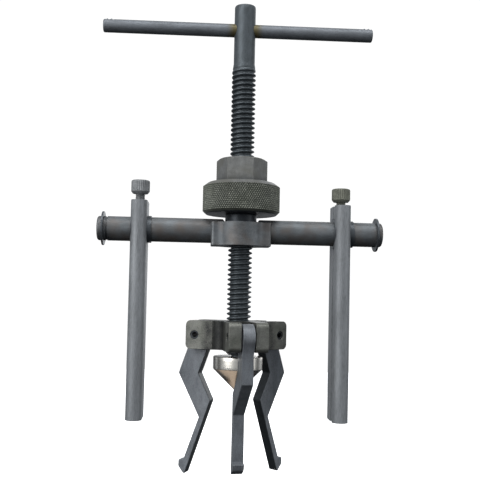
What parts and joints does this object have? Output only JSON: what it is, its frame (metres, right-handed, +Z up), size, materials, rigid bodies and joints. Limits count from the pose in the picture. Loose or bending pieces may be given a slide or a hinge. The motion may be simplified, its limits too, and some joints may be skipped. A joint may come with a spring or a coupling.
{
  "type": "gear puller",
  "caption": "Internal jaw puller for pilot bearings and small gears: cone-spread jaws on a forcing screw, crossbar with sliding legs, knurled pull nut and a sliding T-bar.",
  "frame": {"origin": "on the forcing screw's axis, in the plane of the two leg feet", "axes": "+Z up the forcing screw towards the T-bar, +X along the crossbar towards the right leg, -Y towards the front jaw"},
  "size_m": [0.1488, 0.0512, 0.2466],
  "materials": {
    "threaded_steel": "rolled thread and turned post, black phosphate, oiled",
    "phosphated_steel": "turned bar, black phosphate, satin",
    "oiled_black_steel": "forged and turned, black oxide, oiled satin",
    "leg_steel": "drawn flat bar, black oxide, satin",
    "jaw_steel": "blanked plate, black oxide, satin",
    "screw_steel": "turned head with a fine straight knurl, black oxide",
    "spring_steel": "spring steel, black oxide",
    "bright_plated_steel": "turned, bright plated"
  },
  "bodies": {
    "crossbar": {"crossbar": "phosphated_steel", "left_retaining_ring": "spring_steel", "right_retaining_ring": "spring_steel"},
    "jaw_hub": {"jaw_hub": "oiled_black_steel", "front_jaw_pin": "spring_steel", "right_jaw_pin": "spring_steel", "left_jaw_pin": "spring_steel"},
    "pull_nut": {"pull_nut": "oiled_black_steel"},
    "cone": {"spreader_cone": "bright_plated_steel", "cone_retaining_pin": "spring_steel"},
    "forcing_screw": {"forcing_screw": "threaded_steel"},
    "t_bar": {"t_bar": "phosphated_steel"},
    "front_jaw": {"front_jaw": "jaw_steel"},
    "right_jaw": {"right_jaw": "jaw_steel"},
    "left_jaw": {"left_jaw": "jaw_steel"},
    "left_leg_bush": {"left_leg_bush": "spring_steel"},
    "right_leg_bush": {"right_leg_bush": "spring_steel"},
    "left_leg": {"left_leg": "leg_steel"},
    "right_leg": {"right_leg": "leg_steel"},
    "left_thumbscrew": {"left_thumbscrew": "screw_steel"},
    "right_thumbscrew": {"right_thumbscrew": "screw_steel"}
  },
  "joints": [
    {"name": "screw_lift", "type": "slide", "parent": "crossbar", "child": "jaw_hub", "axis": [0, 0, 1], "range_m": [-0.034, 0.038]},
    {"name": "pull_nut_turn", "type": "hinge", "parent": "crossbar", "child": "pull_nut", "pos_m": [0, 0, 0.1019], "axis": [0, 0, 1], "range_deg": [-5400, 4830]},
    {"name": "cone_feed", "type": "slide", "parent": "jaw_hub", "child": "cone", "axis": [0, 0, -1], "range_m": [0, 0.0135]},
    {"name": "screw_spin", "type": "hinge", "parent": "cone", "child": "forcing_screw", "pos_m": [0, 0, 0.0334], "axis": [0, 0, 1], "range_deg": [-1920, 5]},
    {"name": "t_bar_slide", "type": "slide", "parent": "forcing_screw", "child": "t_bar", "axis": [1, 0, 0], "range_m": [-0.0568, 0.0632]},
    {"name": "front_jaw_swing", "type": "hinge", "parent": "jaw_hub", "child": "front_jaw", "pos_m": [0.00324, -0.02045, 0.0435], "axis": [-0.9877, -0.1564, 0], "range_deg": [0, 20]},
    {"name": "right_jaw_swing", "type": "hinge", "parent": "jaw_hub", "child": "right_jaw", "pos_m": [0.01609, 0.01303, 0.0435], "axis": [0.6293, -0.7771, 0], "range_deg": [-20, 3]},
    {"name": "left_jaw_swing", "type": "hinge", "parent": "jaw_hub", "child": "left_jaw", "pos_m": [-0.01933, 0.00742, 0.0435], "axis": [0.3584, 0.9336, 0], "range_deg": [-20, 3]},
    {"name": "left_leg_slide", "type": "slide", "parent": "crossbar", "child": "left_leg_bush", "axis": [1, 0, 0], "range_m": [-0.0135, 0.012]},
    {"name": "left_leg_swing", "type": "hinge", "parent": "left_leg_bush", "child": "left_leg", "pos_m": [-0.0527, 0, 0.0975], "axis": [1, 0, 0], "range_deg": [-90, 90]},
    {"name": "left_thumbscrew_turn", "type": "hinge", "parent": "left_leg", "child": "left_thumbscrew", "pos_m": [-0.0527, 0, 0.112], "axis": [0, 0, 1], "range_deg": [0, 540]},
    {"name": "right_leg_slide", "type": "slide", "parent": "crossbar", "child": "right_leg_bush", "axis": [1, 0, 0], "range_m": [-0.012, 0.0115]},
    {"name": "right_leg_swing", "type": "hinge", "parent": "right_leg_bush", "child": "right_leg", "pos_m": [0.0527, 0, 0.0975], "axis": [1, 0, 0], "range_deg": [-90, 90]},
    {"name": "right_thumbscrew_turn", "type": "hinge", "parent": "right_leg", "child": "right_thumbscrew", "pos_m": [0.0527, 0, 0.112], "axis": [0, 0, 1], "range_deg": [0, 540]}
  ],
  "couplings": [
    {"joint": "pull_nut_turn", "follows": "screw_lift", "rad_per_m": -2473.7},
    {"joint": "screw_spin", "follows": "cone_feed", "rad_per_m": -2473.7},
    {"joint": "front_jaw_swing", "follows": "cone_feed", "rad_per_m": 25.85}
  ]
}
